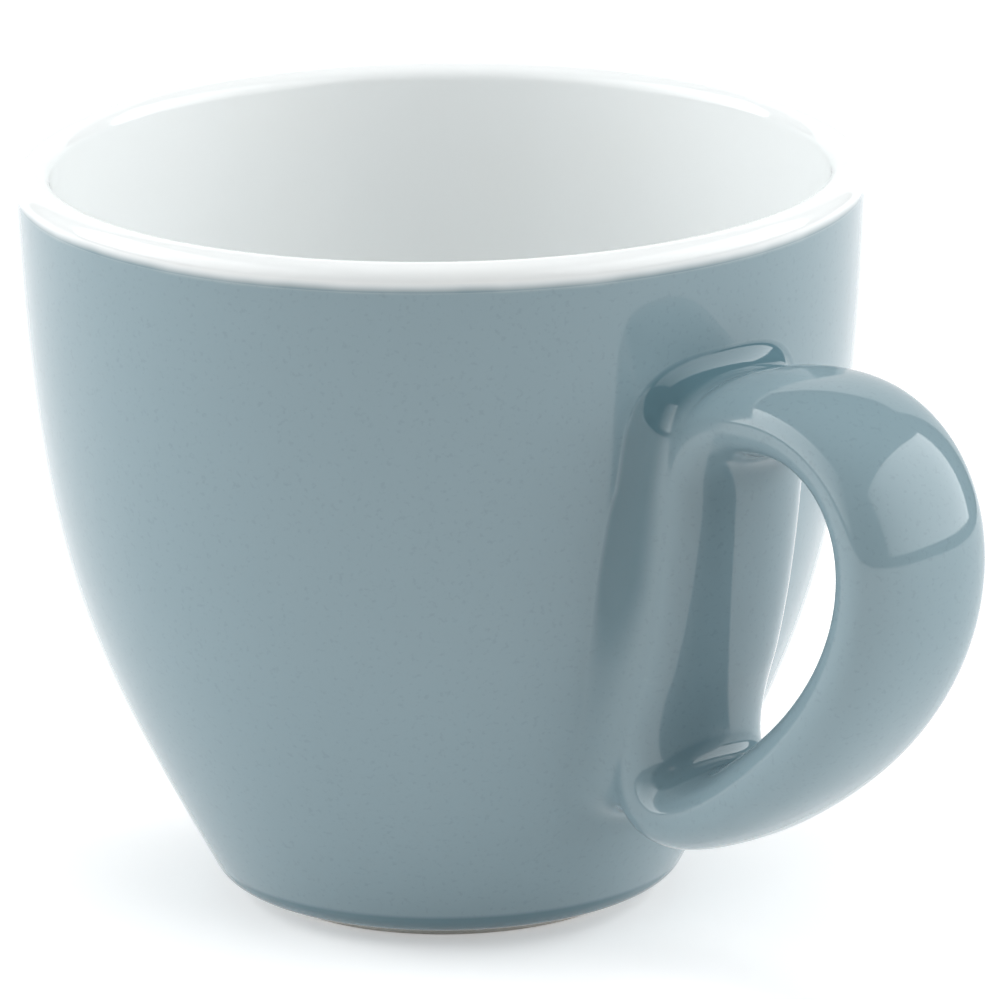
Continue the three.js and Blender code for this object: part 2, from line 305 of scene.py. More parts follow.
def blue_line(cup, wall):
    """The outside from the lip down the wall, round the turn at its foot and down the foot ring's side."""
    falling = resampled(wall.line[::-1], cup.profile_step)
    centre = [wall.foot[0] - cup.base_turn * math.cos(cup.flare), cup.foot_height + cup.base_turn]
    turn = arc(centre, cup.base_turn, -cup.flare, -math.pi / 2, CURVE_STEPS)
    nook_x = cup.foot + cup.foot_edge
    under = resampled(np.array([turn[-1], [nook_x, cup.foot_height]]), cup.profile_step)
    nook_centre = [nook_x, cup.foot_height - cup.foot_edge]
    nook = arc(nook_centre, cup.foot_edge, math.pi / 2, math.pi, CURVE_STEPS // 4)
    return np.concatenate([falling[:-1], turn[:-1], under[:-1], nook, [[cup.foot, cup.bare + cup.seam]]])


def well_line(cup):
    """The inside of the foot ring and the underside of the bowl's floor."""
    inside = cup.foot - cup.foot_width
    edge = cup.foot_edge * 2
    nook = arc([inside - edge, cup.well - edge], edge, 0, math.pi / 2, CURVE_STEPS // 3)
    flat = resampled(np.array([[inside - edge, cup.well], [0, cup.well]]), cup.profile_step)
    return np.concatenate([[[inside, cup.bare + cup.seam]], nook, flat[1:]])


def foot_line(cup):
    """The bare foot ring: two sides, two rounded edges and the face that it stands on."""
    inside = cup.foot - cup.foot_width
    depth = cup.glaze + cup.film
    steps = CURVE_STEPS // 3
    outer = arc([cup.foot - cup.foot_edge, cup.foot_edge], cup.foot_edge, 0, -math.pi / 2, steps)
    inner = arc([inside + cup.foot_edge, cup.foot_edge], cup.foot_edge, -math.pi / 2, -math.pi, steps)
    start = [[cup.foot - depth, cup.bare], [cup.foot, cup.bare]]
    end = [[inside, cup.bare], [inside + depth, cup.bare]]
    return np.concatenate([start, outer, inner, end])


def coat(cup, line):
    """The closed outline of a coat: the visible line and the same line one thickness further in."""
    return np.concatenate([line, inset(line, cup.glaze)[::-1]])


def curvature(points, normals, neighbours):
    """How far the surface bends at each point, per metre: minus where it bulges, plus where it is hollow. It
    is the mean over the neighbours of their height over the tangent plane, over half their squared
    distance."""
    total = 0
    for other in neighbours:
        gap = other - points
        total = total + 2 * np.sum(gap * normals, axis=-1) / np.maximum(np.sum(gap * gap, axis=-1), TINY)
    return total / len(neighbours)


def unit(vectors):
    """The same directions with length one."""
    return vectors / np.maximum(np.linalg.norm(vectors, axis=-1, keepdims=True), TINY)


def grid_normals(down, across):
    """Unit normals of a grid from its two directions."""
    return unit(np.cross(down, across))


def add_piece(name, points, faces, bend, material, slot, *nodes):
    """A smooth mesh from points and faces, with the bend of the surface at each point as its own attribute.
    It rides on the cup and stands for the named nodes."""
    mesh = bpy.data.meshes.new(name)
    mesh.from_pydata(points.reshape(-1, 3), [], faces)
    mesh.update()
    layer = mesh.attributes.new("bend", "FLOAT", "POINT")
    layer.data.foreach_set("value", np.ascontiguousarray(bend, np.float32).ravel())
    mesh.shade_smooth()
    mesh.set_sharp_from_angle(angle=SHARP_EDGE)
    mesh.materials.append(material)
    piece = bpy.data.objects.new(name, mesh)
    bpy.context.scene.collection.objects.link(piece)
    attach(piece, "root")
    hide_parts(*nodes)
    return piece


def turned(cup, outline):
    """A closed solid of revolution: each outline point goes round the axis in a ring, a point on the axis is
    a single pole, and rings that follow one another are joined by quads. Gives points, faces and bend."""
    steps = cup.round_steps
    turn = np.linspace(0, 2 * math.pi, steps, endpoint=False)
    poles = outline[:, 0] < ON_AXIS
    rings = outline[~poles]
    points = np.stack(
        [
            AXIS_X + rings[:, :1] * np.cos(turn),
            rings[:, :1] * np.sin(turn),
            np.broadcast_to(rings[:, 1:], (len(rings), steps)),
        ],
        axis=-1,
    )
    following = np.roll(points, -1, axis=0)
    preceding = np.roll(points, 1, axis=0)
    sideways = np.roll(points, -1, axis=1) - np.roll(points, 1, axis=1)
    normals = grid_normals(following - preceding, sideways)
    bend = curvature(points, -normals, [following, preceding])
    index = np.arange(len(rings) * steps).reshape(len(rings), steps)
    nearer, beside = np.roll(index, -1, axis=0), np.roll(index, -1, axis=1)
    quads = np.stack([index, nearer, np.roll(nearer, -1, axis=1), beside], axis=-1)
    if not poles.any():
        return points.reshape(-1, 3), quads.reshape(-1, 4).tolist(), bend.ravel()
    where = np.flatnonzero(poles)
    ends = np.column_stack([np.full(len(where), AXIS_X), np.zeros(len(where)), outline[where, 1]])
    first, last = len(rings) * steps, len(rings) * steps + 1
    fan_in = np.stack([np.full(steps, first), index[0], beside[0]], axis=1)
    fan_out = np.stack([np.full(steps, last), beside[-1], index[-1]], axis=1)
    faces = quads[:-1].reshape(-1, 4).tolist() + fan_in.tolist() + fan_out.tolist()
    ends = ends if where[0] == 0 else ends[::-1]
    bend = np.concatenate([bend.ravel(), np.zeros(len(ends))])
    return np.concatenate([points.reshape(-1, 3), ends]), faces, bend


MEET_STEPS = 20001


class Opening:
    """The line round the loop's opening, in the handle's middle plane: a cubic Bezier under the arm, a
    quadratic one for each corner, and between them the wall's own line moved out to the saddle."""

    def __init__(self, cup, handle, wall):
        self.proud, self.wall = handle.proud, wall
        top = self.saddle(cup.height - handle.drop) + [handle.high_corner, 0]
        bottom = self.saddle(handle.rise) + [handle.low_corner, 0]
        upper, upper_length = self.meet(top, handle.arch)
        lower, lower_length = self.meet(bottom, handle.sweep)
        climb = handle.arch_length * np.array([math.cos(handle.arch), math.sin(handle.arch)])
        sweep = handle.sweep_length * np.array([math.cos(handle.sweep), math.sin(handle.sweep)])
        heights = np.linspace(lower[1] + lower_length, upper[1] - upper_length, len(FINE))
        side = np.stack([wall.radius(heights) + self.proud, heights], axis=1)
        parts = [
            bezier([top, top + climb, bottom + sweep, bottom], FINE),
            bezier([bottom, lower, side[0]], FINE)[1:],
            side[1:],
            bezier([side[-1], upper, top], FINE)[1:],
        ]
        self.line = np.concatenate(parts)
        run = run_length(self.line)
        self.share = run / run[-1]
        self.reach = self.stand_off(self.line).max()
        saddle_start = len(parts[0]) + len(parts[1]) - 1
        self.saddle_middle = (self.share[saddle_start] + self.share[saddle_start + len(parts[2])]) / 2

    def saddle(self, height):
        """The saddle's place at a height."""
        return np.array([self.wall.radius(height) + self.proud, height])

    def meet(self, start, angle):
        """Where a line inwards from a point, falling at an angle, meets the saddle, and its length."""
        tried = np.linspace(0, start[0], MEET_STEPS)
        x, z = start[0] - tried * math.cos(angle), start[1] - tried * math.sin(angle)
        first = np.argmax(x < self.wall.radius(z) + self.proud)
        return np.array([x[first], z[first]]), tried[first]

    def stand_off(self, points):
        """How far places lie outside the saddle, measured level."""
        return points[..., 0] - self.wall.radius(points[..., 1]) - self.proud

    def at(self, share):
        """Places at shares of the way round the opening."""
        return np.stack([np.interp(share % 1, self.share, self.line[:, k]) for k in (0, 1)], axis=-1)


TANGENT_SHARE = 2e-3


def loop_sections(handle, opening, share):
    """The loop's section at shares of the way round the opening: its middle, the way out, its thickness and
    its width. The loop grows from the arm's sizes to the tip's with its distance from the saddle, and gets
    deeper where it turns into the wall."""
    edge = opening.at(share)
    along = opening.at(share + TANGENT_SHARE) - opening.at(share - TANGENT_SHARE)
    along /= np.linalg.norm(along, axis=-1, keepdims=True)
    out = np.stack([-along[..., 1], along[..., 0]], axis=-1)
    arm = smooth(0, opening.reach, opening.stand_off(edge))
    upper, lower = (np.maximum(0, (side * out[..., 1] - out[..., 0]) / math.sqrt(2)) for side in (1, -1))
    fill = handle.high_fill * upper**handle.root_falloff + handle.low_fill * lower**handle.root_falloff
    thickness = handle.arm + (handle.tip - handle.arm) * arm + fill
    width = handle.saddle_width + (handle.arm_width - handle.saddle_width) * arm
    return edge + out * thickness[..., None] / 2, out, thickness, width


def loop_points(handle, opening, share, turn, depth=0.0):
    """Points of the loop about the cup's axis, or of its core at a depth under it: ovals across the
    opening's line, whose two coordinates are the cosine and the sine of the turn to a power."""
    middle, out, thickness, width = loop_sections(handle, opening, share)
    thickness, width = thickness - 2 * depth, width - 2 * depth
    cosine, sine = np.cos(turn), np.sin(turn)
    across = np.sign(cosine) * np.abs(cosine) ** (2 / handle.power)
    aside = np.sign(sine) * np.abs(sine) ** (2 / handle.power)
    flat = middle + out * (thickness / 2 * across)[..., None]
    return np.stack([flat[..., 0], width / 2 * aside, flat[..., 1]], axis=-1)


SHARE_STEP = 4e-4
TURN_STEP = 2e-3
BEND_SPREAD = 4
NOOK_BEND = 90.0


def loop_normals(handle, opening, share, turn):
    """Unit normals of the loop, from points a little way along it and round it."""
    ahead, behind = (loop_points(handle, opening, share + step, turn) for step in (SHARE_STEP, -SHARE_STEP))
    left, right = (loop_points(handle, opening, share, turn + step) for step in (TURN_STEP, -TURN_STEP))
    return grid_normals(ahead - behind, left - right)


def closed_quads(rows, columns):
    """Quads of a grid that closes on itself both ways."""
    index = np.arange(rows * columns).reshape(rows, columns)
    following = np.roll(index, -1, axis=0)
    corners = [index, following, np.roll(following, -1, axis=1), np.roll(index, -1, axis=1)]
    return np.stack(corners, axis=-1).reshape(-1, 4)


def loop_surface(handle, opening, wall, depth=0.0):
    """The loop or its core as a closed grid, with sections evenly spaced along the loop's outer line, and no
    deeper in the wall than the buried depth. Gives points, faces and bend."""
    middle, out, thickness, _ = loop_sections(handle, opening, FINE)
    run = run_length(middle + out * thickness[:, None] / 2)
    share = np.interp(np.linspace(0, run[-1], handle.loop_steps, endpoint=False), run, FINE)
    turn = np.linspace(0, 2 * math.pi, handle.band_steps, endpoint=False)
    share, turn = np.meshgrid(share, turn, indexing="ij")
    points = loop_points(handle, opening, share, turn, depth)
    normals = loop_normals(handle, opening, share, turn)
    neighbours = [np.roll(points, step, axis=side) for side in (0, 1) for step in (1, -1)]
    bend = curvature(points, normals, neighbours)
    spread = range(-BEND_SPREAD, BEND_SPREAD + 1)
    # The bend is capped at the nook bend, so that the thick glaze and painted shade it brings stay light in
    # the opening's corners
    bend = np.minimum(np.mean([np.roll(bend, step, axis=1) for step in spread], axis=0), NOOK_BEND)
    reach = np.hypot(points[..., 0], points[..., 1])
    least = wall.radius(points[..., 2]) - handle.bury - depth
    points[..., :2] *= np.maximum(1, least / reach)[..., None]
    return points, closed_quads(*share.shape), bend


RING_SCAN = 360
RING_START = 0.02
RING_REACH = 0.3
RING_SETTLE = 16
FIT_LOW, FIT_HIGH = 0.3, 3.0
POOL_SHADE_SKEW = 0.6
POOL_SHADE_RUN = 0.9
HALVINGS = 24
BACK_STEP = 4


def ball_radius(handle, bearing):
    """The radius of the ball that shapes the fillet: the side's, and nearer the upper or the lower root's as
    it rolls over or under them, by the square of the bearing's cosine."""
    upper, lower = (np.maximum(0, side * np.cos(bearing)) ** 2 for side in (1, -1))
    side = handle.side_fillet
    return side + (handle.high_fillet - side) * upper + (handle.low_fillet - side) * lower


def ball_centres(handle, opening, wall, radius, share, turn):
    """Centres of the balls that touch the loop at points of it, those points, how far each ball is clear of
    the wall, and the wall's lean beside it."""
    points = loop_points(handle, opening, share, turn)
    centres = points + radius[..., None] * loop_normals(handle, opening, share, turn)
    distance, lean = wall.stand_off(np.hypot(centres[..., 0], centres[..., 1]), centres[..., 2])
    return centres, points, distance - radius, lean


def ring_places(handle, opening, wall, bearing):
    """Where a ball that rolls round the handle's foot touches both the loop and the wall, as shares along
    the loop and turns round it. Each bearing is a ray from the middle of the saddle's hidden side,
    searched outwards for the first ball that no longer sinks into the wall, and then by halving."""
    reach = np.stack([RING_REACH * np.cos(bearing), math.pi * np.sin(bearing)], axis=-1)
    middle = np.array([opening.saddle_middle, 0.0])
    radius = ball_radius(handle, bearing)[:, None]

    def gaps(far):
        place = middle + reach[:, None, :] * far[..., None]
        radii = np.broadcast_to(radius, far.shape)
        return ball_centres(handle, opening, wall, radii, place[..., 0], place[..., 1])[2]

    tried = np.linspace(RING_START, 1, RING_SCAN)
    free = gaps(np.broadcast_to(tried, (len(bearing), RING_SCAN))) > 0
    first = np.argmax(free, axis=1)
    low, high = tried[np.maximum(first - 1, 0)], tried[first]
    for _ in range(HALVINGS):
        half = (low + high) / 2
        sinks = gaps(half[:, None])[:, 0] < 0
        low, high = np.where(sinks, half, low), np.where(sinks, high, half)
    place = middle + reach * low[:, None]
    return place[:, 0], place[:, 1]


def settled(values):
    """A closed run of values, each one the mean of its neighbours on both sides."""
    return np.mean([np.roll(values, step) for step in range(-RING_SETTLE, RING_SETTLE + 1)], axis=0)


def fitted_radius(handle, opening, wall, radius, share, turn):
    """The radius at which a ball that touches the loop at given places touches the wall too, found by
    halving."""
    low, high = radius * FIT_LOW, radius * FIT_HIGH
    for _ in range(HALVINGS):
        half = (low + high) / 2
        clear = ball_centres(handle, opening, wall, half, share, turn)[2] > 0
        low, high = np.where(clear, half, low), np.where(clear, high, half)
    return low


def fillet_surface(handle, opening, wall):
    """The fillet round the handle's foot, as a rolling ball leaves it: arcs about the ball's centre from
    where it touches the wall to where it touches the loop, each closed by a short lap under both surfaces
    and a second, coarser arc just behind it. Gives points, faces and a made-up bend that paints thick glaze
    and painted shade along the arcs."""
    bearing = np.linspace(0, 2 * math.pi, handle.ring_steps + 1)
    places = ring_places(handle, opening, wall, bearing)
    run = run_length(ball_centres(handle, opening, wall, ball_radius(handle, bearing), *places)[0])
    bearing = np.interp(np.linspace(0, run[-1], handle.ring_steps, endpoint=False), run, bearing)
    places = [settled(place) for place in ring_places(handle, opening, wall, bearing)]
    radius = fitted_radius(handle, opening, wall, ball_radius(handle, bearing), *places)
    centres, touch, _, lean = ball_centres(handle, opening, wall, radius, *places)
    round_axis = unit(centres[:, :2])
    to_wall = -np.column_stack([round_axis * np.cos(lean)[:, None], -np.sin(lean)])
    to_loop = unit(touch - centres)
    cosine = np.clip(np.sum(to_wall * to_loop, axis=1), -1, 1)[:, None]
    opened = np.arccos(cosine)
    share = np.linspace(0, 1, handle.arc_steps + 1)
    weights = [np.sin(opened * part)[..., None] / np.sin(opened)[..., None] for part in (1 - share, share)]
    ball = weights[0] * to_wall[:, None] + weights[1] * to_loop[:, None]
    arcs = centres[:, None] + radius[:, None, None] * ball
    lap_wall = arcs[:, 0] + handle.lap * unit(to_wall * cosine - to_loop) + handle.sink * to_wall
    lap_loop = arcs[:, -1] + handle.lap * unit(to_loop * cosine - to_wall) + handle.sink * to_loop
    behind = centres[:, None] + (radius[:, None, None] + handle.lap) * ball[:, ::-BACK_STEP]
    points = np.concatenate([lap_wall[:, None], arcs, lap_loop[:, None], behind], axis=1)
    # Made-up bend, not the fillet's curvature: a dark band of thick glaze and painted shade, fading under
    # the lower root
    hollow = np.sin(math.pi * share**POOL_SHADE_SKEW) * (1 - POOL_SHADE_RUN * np.maximum(0, -np.cos(bearing)))[:, None]
    bend = np.pad(hollow / handle.side_fillet, ((0, 0), (1, 1 + behind.shape[1])))
    return points, closed_quads(*points.shape[:2])[:, ::-1], bend


def core_surface(cup, handle):
    """The loop's core, under the glaze, as a closed grid. Gives points, faces and bend."""
    wall = Wall(cup)
    points, faces, bend = loop_surface(handle, Opening(cup, handle, wall), wall, cup.glaze + cup.film)
    return points + [AXIS_X, 0, 0], faces.tolist(), bend


def handle_surface(cup, handle):
    """The loop and the fillet round its foot, each a closed grid. Gives points, faces and bend."""
    wall = Wall(cup)
    opening = Opening(cup, handle, wall)
    loop, loop_faces, loop_bend = loop_surface(handle, opening, wall)
    ring, ring_faces, ring_bend = fillet_surface(handle, opening, wall)
    points = np.concatenate([loop.reshape(-1, 3), ring.reshape(-1, 3)]) + [AXIS_X, 0, 0]
    faces = loop_faces.tolist() + (ring_faces + loop.size // 3).tolist()
    return points, faces, np.concatenate([loop_bend.ravel(), ring_bend.ravel()])


class Value:
    """A number that a socket gives, for writing shader maths as Python expressions."""

    def __init__(self, shader, socket):
        self.shader, self.socket = shader, socket

    def maths(self, operation, *others):
        return self.shader.node("ShaderNodeMath", {"operation": operation}, [self, *others])[0]

    def __add__(self, other):
        return self.maths("ADD", other)

    def __mul__(self, other):
        return self.maths("MULTIPLY", other)

    def __sub__(self, other):
        return self.maths("SUBTRACT", other)

    def __rsub__(self, other):
        return (self * -1) + other

    __radd__ = __add__
    __rmul__ = __mul__

    def most(self, other):
        return self.maths("MAXIMUM", other)

    def between(self, low, high):
        """Zero below low, one above high, and smooth between."""
        settings = {"interpolation_type": "SMOOTHSTEP"}
        sockets = {"Value": self, "From Min": low, "From Max": high}
        return self.shader.node("ShaderNodeMapRange", settings, sockets)[0]


MIX_SOCKETS = (0, 6, 7)


class Shader:
    """A node tree under construction."""

    def __init__(self, owner):
        owner.use_nodes = True
        self.tree = owner.node_tree
        self.tree.nodes.clear()

    def node(self, kind, settings=None, sockets=None):
        """A new node: its settings first, then the values or links of its sockets by name or place. Gives
        its outputs."""
        made = self.tree.nodes.new(kind)
        for name, value in (settings or {}).items():
            setattr(made, name, value)
        pairs = sockets.items() if isinstance(sockets, dict) else enumerate(sockets or [])
        for key, value in pairs:
            if isinstance(value, Value):
                self.tree.links.new(value.socket, made.inputs[key])
            else:
                made.inputs[key].default_value = value
        return [Value(self, socket) for socket in made.outputs if socket.enabled]

    def named(self, kind, settings=None):
        """The outputs of a new node, by their names."""
        return {value.socket.name: value for value in self.node(kind, settings)}

    def noise(self, place, scale, detail):
        """Soft noise about one half, with that many waves to the metre and finer ones to that depth."""
        sockets = {"Vector": place, "Scale": scale, "Detail": detail, "Roughness": 0.5}
        return self.node("ShaderNodeTexNoise", {"normalize": True}, sockets)[0]

    def mixed(self, share, first, second):
        """A colour between two others."""
        sockets = dict(zip(MIX_SOCKETS, [share, first, second]))
        return self.node("ShaderNodeMix", {"data_type": "RGBA"}, sockets)[0]

    def surface(self, base, roughness, relief, strength, height, ior):
        """The finished surface of a material: a colour, a roughness and a relief of that height."""
        sockets = {"Strength": strength, "Distance": height, "Height": relief}
        bump = self.node("ShaderNodeBump", None, sockets)[0]
        sockets = {"Base Color": base, "Roughness": roughness, "Normal": bump, "IOR": ior}
        finished = self.node("ShaderNodeBsdfPrincipled", None, sockets)[0]
        self.node("ShaderNodeOutputMaterial", None, {"Surface": finished})


def opaque(shade):
    """A colour property as the four numbers that a socket takes."""
    return (*shade, 1.0)


def place_and_height(shader):
    """Object coordinates, and the height among them."""
    place = shader.named("ShaderNodeTexCoord")["Object"]
    _, _, height = shader.node("ShaderNodeSeparateXYZ", None, [place])
    return place, height


def surface_bend(shader):
    """The bend of the surface per metre, as the mesh holds it."""
    return shader.named("ShaderNodeAttribute", {"attribute_name": "bend"})["Fac"]


GLAZE_IOR = 1.52
BARE_IOR = 1.5
# How the bend darkens the blue glaze: thick glaze in hollows, with painted shade in the same mix
POOL_SHADE_BENDS = (30.0, 150.0)
POOL_SHADE_SHARE = 0.9
POOL_SHADE_DRIFT = 0.2
RIDGE_BENDS = (180.0, 900.0)
RIDGE_SHARE = 0.45
SPECK_LEVELS = (0.56, 0.72)
SPECK_SHARE = 0.5
LINE_WAVER = 0.4 * MM
LINE_RISE = 0.1 * MM
CLOUD_GLOSS = 0.03
GRAIN_GLOSS = 0.02
RIPPLE_HEIGHT = 0.1 * MM
BLUE_RIPPLE = 0.05
BLUE_WAVES = {"cloud": (160.0, 2.0), "grain": (2600.0, 3.0), "ripple": (420.0, 1.0)}


def blue_glaze(cup, colours):
    """Blue-grey glaze: even, with specks of a fraction of a millimetre, darker in hollows, where thick glaze
    and painted shade are mixed in together, paler where it is thin over ridges, and running out under the
    white lip. Its surface ripples a little."""
    made = bpy.data.materials.new("blue_grey_glaze")
    shader = Shader(made)
    place, height = place_and_height(shader)
    bend = surface_bend(shader)
    cloud = shader.noise(place, *BLUE_WAVES["cloud"])
    grain = shader.noise(place, *BLUE_WAVES["grain"])
    ripple = shader.noise(place, *BLUE_WAVES["ripple"])
    # Darker in hollows by the bend: thick glaze, and painted shade in the fillet and the opening's nooks
    pool_and_shade = bend.between(*POOL_SHADE_BENDS) * (cloud * POOL_SHADE_DRIFT + (1 - POOL_SHADE_DRIFT / 2)) * POOL_SHADE_SHARE
    thin = (bend * -1).between(*RIDGE_BENDS) * RIDGE_SHARE
    specks = grain.between(*SPECK_LEVELS) * SPECK_SHARE
    base = shader.mixed(specks, opaque(colours.blue), opaque(colours.speck))
    base = shader.mixed(pool_and_shade, base, opaque(colours.pool_and_shade))
    base = shader.mixed(thin, base, opaque(colours.broken))
    line = cup.height - cup.lip / 2
    wavering = height + (cloud - 0.5) * LINE_WAVER
    fading = wavering.between(line - colours.line, line + LINE_RISE)
    base = shader.mixed(fading, base, opaque(colours.white))
    even = colours.gloss - (CLOUD_GLOSS + GRAIN_GLOSS) / 2
    roughness = cloud * CLOUD_GLOSS + grain * GRAIN_GLOSS + even
    shader.surface(base, roughness, ripple, BLUE_RIPPLE, RIPPLE_HEIGHT, GLAZE_IOR)
    return made


WHITE_WAVES = {"cloud": (90.0, 2.0), "ripple": (380.0, 1.0)}
WHITE_RIPPLE = 0.04
WARMTH = (1.0, 0.995, 0.985)
WARM_LEVELS = (0.4, 0.7)
WARM_SHARE = 0.5


def white_glaze(colours):
    """White glaze: a glossy coat with the faintest warm clouds, and a slow ripple."""
    made = bpy.data.materials.new("glossy_white_glaze")
    shader = Shader(made)
    place, _ = place_and_height(shader)
    cloud = shader.noise(place, *WHITE_WAVES["cloud"])
    ripple = shader.noise(place, *WHITE_WAVES["ripple"])
    warm = tuple(part * share for part, share in zip(colours.white, WARMTH))
    base = shader.mixed(cloud.between(*WARM_LEVELS) * WARM_SHARE, opaque(colours.white), opaque(warm))
    roughness = cloud * CLOUD_GLOSS + (colours.gloss - CLOUD_GLOSS / 2)
    shader.surface(base, roughness, ripple, WHITE_RIPPLE, RIPPLE_HEIGHT, GLAZE_IOR)
    return made


BARE_WAVES = {"stain": (220.0, 4.0), "grain": (5200.0, 3.0)}
STAIN_LEVELS = (0.45, 0.75)
STAIN_SHARE = 0.6
STAIN_SHADE = 0.82
SAND_SHARE = 0.2
SAND_BUMP = 0.35
SAND_HEIGHT = 0.05 * MM
BARE_ROUGHNESS = 0.6


def bare_porcelain(colours):
    """Unglazed porcelain: matt and warm, with a fine sandy grain and faint stains."""
    made = bpy.data.materials.new("bare_porcelain")
    shader = Shader(made)
    place, _ = place_and_height(shader)
    stain = shader.noise(place, *BARE_WAVES["stain"])
    grain = shader.noise(place, *BARE_WAVES["grain"])
    dark = tuple(part * STAIN_SHADE for part in colours.bisque)
    stained = stain.between(*STAIN_LEVELS) * STAIN_SHARE + grain * SAND_SHARE
    base = shader.mixed(stained, opaque(colours.bisque), opaque(dark))
    roughness = grain * SAND_SHARE + BARE_ROUGHNESS
    shader.surface(base, roughness, grain, SAND_BUMP, SAND_HEIGHT, BARE_IOR)
    return made


def finish(name):
    """The material of that name, made when it is first asked for."""
    scene = bpy.context.scene
    if name not in bpy.data.materials:
        if name == "blue_grey_glaze":
            blue_glaze(scene.cup_sizes, scene.cup_colours)
        elif name == "glossy_white_glaze":
            white_glaze(scene.cup_colours)
        else:
            bare_porcelain(scene.cup_colours)
    return bpy.data.materials[name]


class CUP_OT_bowl(bpy.types.Operator):
    """The porcelain bowl, whose foot ring is bare"""

    bl_idname = "cup.bowl"
    bl_label = "Bowl"

    def execute(self, context):
        cup = context.scene.cup_sizes
        wall = Wall(cup)
        depth = cup.glaze + cup.film
        inside = inset(white_line(cup, wall), depth)
        outside = inset(blue_line(cup, wall), depth)
        well = inset(well_line(cup), depth)
        outline = np.concatenate([inside, outside, foot_line(cup), well])
        add_piece("porcelain_bowl", *turned(cup, outline), finish("bare_porcelain"), "bisque", "cup_body")
        return {"FINISHED"}


class CUP_OT_wall_glaze(bpy.types.Operator):
    """The blue-grey coat on the outside of the wall"""

    bl_idname = "cup.wall_glaze"
    bl_label = "Wall glaze"

    def execute(self, context):
        cup = context.scene.cup_sizes
        outline = coat(cup, blue_line(cup, Wall(cup)))
        blue = finish("blue_grey_glaze")
        add_piece("wall_glaze", *turned(cup, outline), blue, "blue_glaze", "outer_glaze")
        return {"FINISHED"}


class CUP_OT_lining(bpy.types.Operator):
    """The white coat inside the bowl and over the lip"""

    bl_idname = "cup.lining"
    bl_label = "White lining"

    def execute(self, context):
        cup = context.scene.cup_sizes
        outline = coat(cup, white_line(cup, Wall(cup)))
        white = finish("glossy_white_glaze")
        add_piece("white_lining", *turned(cup, outline), white, "white_glaze", "inner_glaze")
        return {"FINISHED"}


class CUP_OT_well_glaze(bpy.types.Operator):
    """The white coat in the well inside the foot ring"""

    bl_idname = "cup.well_glaze"
    bl_label = "Well glaze"

    def execute(self, context):
        cup = context.scene.cup_sizes
        outline = coat(cup, well_line(cup))
        white = finish("glossy_white_glaze")
        add_piece("well_glaze", *turned(cup, outline), white, "white_glaze", "foot_glaze")
        return {"FINISHED"}


class CUP_OT_handle(bpy.types.Operator):
    """The porcelain loop with its slip, and the blue-grey coat over it, which flows into the wall"""

    bl_idname = "cup.handle"
    bl_label = "Handle"

    def execute(self, context):
        scene = context.scene
        core = core_surface(scene.cup_sizes, scene.cup_handle)
        add_piece("porcelain_loop", *core, finish("bare_porcelain"), "bisque", "handle", "handle_slip")
        surface = handle_surface(scene.cup_sizes, scene.cup_handle)
        add_piece("handle_coat", *surface, finish("blue_grey_glaze"), "blue_glaze", "handle_glaze")
        return {"FINISHED"}


def softbox(name, stand, aim, size, start, end):
    """A flat lamp whose radiance goes evenly from one side to the other: its power is pi times its area,
    times the radiance that its nodes give."""
    lamp = bpy.data.lights.new(name, "AREA")
    lamp.shape = "RECTANGLE"
    lamp.size, lamp.size_y = size
    lamp.energy = math.pi * size[0] * size[1]
    shader = Shader(lamp)
    place = shader.named("ShaderNodeTexCoord")["UV"]
    across, _, _ = shader.node("ShaderNodeSeparateXYZ", None, [place])
    glow = shader.node("ShaderNodeEmission", None, {"Strength": across * (end - start) + start})[0]
    shader.node("ShaderNodeOutputLight", None, {"Surface": glow})
    holder = bpy.data.objects.new(name, lamp)
    holder.location = stand
    holder.rotation_euler = (Vector(aim) - Vector(stand)).to_track_quat("-Z", "Y").to_euler()
    bpy.context.scene.collection.objects.link(holder)
    return holder


def stage_mesh(name, points, material):
    """A grid of points as one smooth sheet of the stage."""
    rows, columns = points.shape[:2]
    index = np.arange(rows * columns).reshape(rows, columns)
    quads = np.stack([index[:-1, :-1], index[:-1, 1:], index[1:, 1:], index[1:, :-1]], axis=-1)
    mesh = bpy.data.meshes.new(name)
    mesh.from_pydata(points.reshape(-1, 3), [], quads.reshape(-1, 4).tolist())
    mesh.shade_smooth()
    mesh.materials.append(material)
    sheet = bpy.data.objects.new(name, mesh)
    bpy.context.scene.collection.objects.link(sheet)
    return sheet


def seen_rays(shader):
    """One for rays from the camera, from gloss and through glass, and zero for those that only bring
    light."""
    rays = shader.named("ShaderNodeLightPath")
    return rays["Is Camera Ray"].most(rays["Is Glossy Ray"]).most(rays["Is Transmission Ray"])


def floor_material(studio):
    """The pale matt table, which gives off a little light of its own to the camera, so that it ends in
    white."""
    made = bpy.data.materials.new("pale_floor")
    shader = Shader(made)
    seen = seen_rays(shader)
    matt = shader.node("ShaderNodeBsdfDiffuse", None, {"Color": opaque(studio.floor)})[0]
    lift = shader.node("ShaderNodeEmission", None, {"Strength": seen * studio.lift})[0]
    both = shader.node("ShaderNodeAddShader", None, [matt, lift])[0]
    shader.node("ShaderNodeOutputMaterial", None, {"Surface": both})
    return made


def room_material(studio):
    """The dim room's even shade."""
    made = bpy.data.materials.new("dim_room")
    shader = Shader(made)
    shade = shader.node("ShaderNodeEmission", None, {"Color": opaque(studio.room), "Strength": 1.0})[0]
    shader.node("ShaderNodeOutputMaterial", None, {"Surface": shade})
    return made


